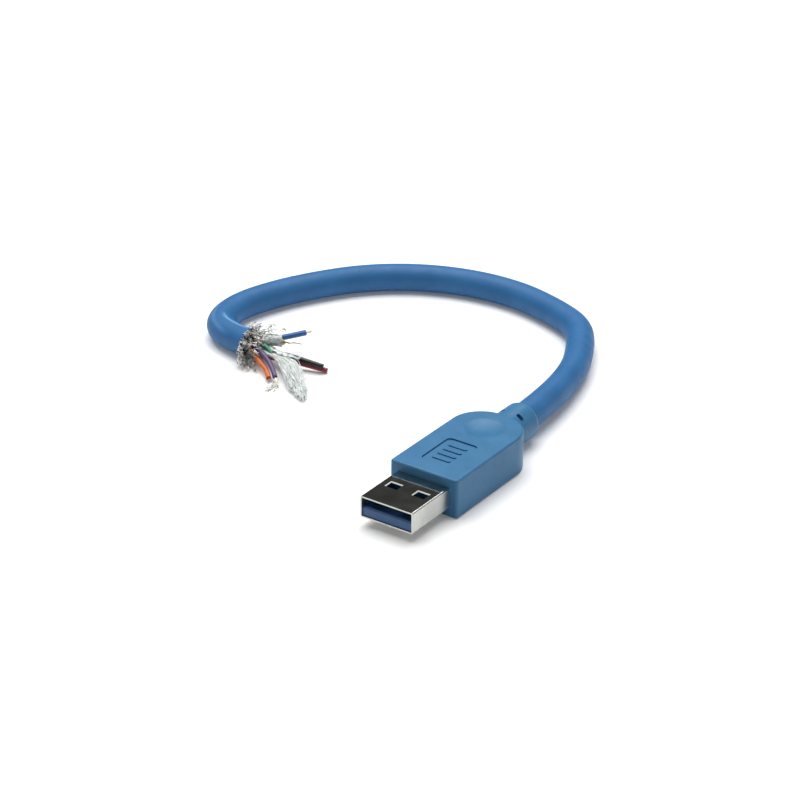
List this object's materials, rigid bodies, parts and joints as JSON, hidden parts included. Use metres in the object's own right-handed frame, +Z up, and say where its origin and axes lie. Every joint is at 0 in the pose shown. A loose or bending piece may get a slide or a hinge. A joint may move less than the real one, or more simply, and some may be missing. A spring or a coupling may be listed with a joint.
{
  "type": "usb cable plug with cut lead",
  "caption": "Flat rectangular plug with a metal shell, moulded grip and a short length of shielded cable, cut off and stripped to its wires.",
  "frame": {"origin": "on the floor under the middle of the plug: centre of the base of the plug's bounding box, without the cable", "axes": "+Z up, the plug's mouth faces -Y and its cable leaves towards +Y, +X to the right seen from the mouth"},
  "size_m": [0.0898, 0.1004, 0.0083],
  "materials": {
    "overmould": "moulded soft vinyl, satin",
    "cable_jacket": "extruded soft vinyl, satin",
    "inner_mould": "hard natural polyethylene",
    "plug_shell": "bright nickel plate",
    "contact_carrier": "hard moulded plastic",
    "gold_plate": "gold plated spring bronze",
    "shield_can": "tinned steel sheet",
    "crimp_ring": "tinned steel",
    "shield_braid": "braided tinned wires, frayed",
    "shield_foil": "foil on clear film",
    "tinned_copper": "tinned copper strands",
    "filler_yarn": "loose clear polypropylene fibres",
    "blue_insulation": "extruded, satin",
    "yellow_insulation": "extruded, satin",
    "purple_insulation": "extruded, satin",
    "orange_insulation": "extruded, satin",
    "red_insulation": "extruded, satin",
    "white_insulation": "extruded, satin",
    "green_insulation": "extruded, satin",
    "black_insulation": "extruded, satin"
  },
  "bodies": {
    "root": {"black_wire": "black_insulation", "black_wire_core": "tinned_copper", "blue_wire": "blue_insulation", "blue_wire_core": "tinned_copper", "cable_jacket": "cable_jacket", "contact_carrier": "contact_carrier", "crimp_ring": "crimp_ring", "data_minus_contact": "gold_plate", "data_plus_contact": "gold_plate", "drain_contact": "gold_plate", "filler_yarn": "filler_yarn", "green_wire": "green_insulation", "green_wire_core": "tinned_copper", "ground_contact": "gold_plate", "inner_mould": "inner_mould", "orange_wire": "orange_insulation", "orange_wire_core": "tinned_copper", "overmould": "overmould", "pair_drain_wire": "tinned_copper", "plug_shell": "plug_shell", "power_contact": "gold_plate", "purple_wire": "purple_insulation", "purple_wire_core": "tinned_copper", "receive_minus_contact": "gold_plate", "receive_plus_contact": "gold_plate", "red_wire": "red_insulation", "red_wire_core": "tinned_copper", "screen_drain_wire": "tinned_copper", "shield_braid": "shield_braid", "shield_can_lower": "shield_can", "shield_can_upper": "shield_can", "shield_foil": "shield_foil", "transmit_minus_contact": "gold_plate", "transmit_plus_contact": "gold_plate", "white_wire": "white_insulation", "white_wire_core": "tinned_copper", "yellow_wire": "yellow_insulation", "yellow_wire_core": "tinned_copper"}
  },
  "joints": []
}
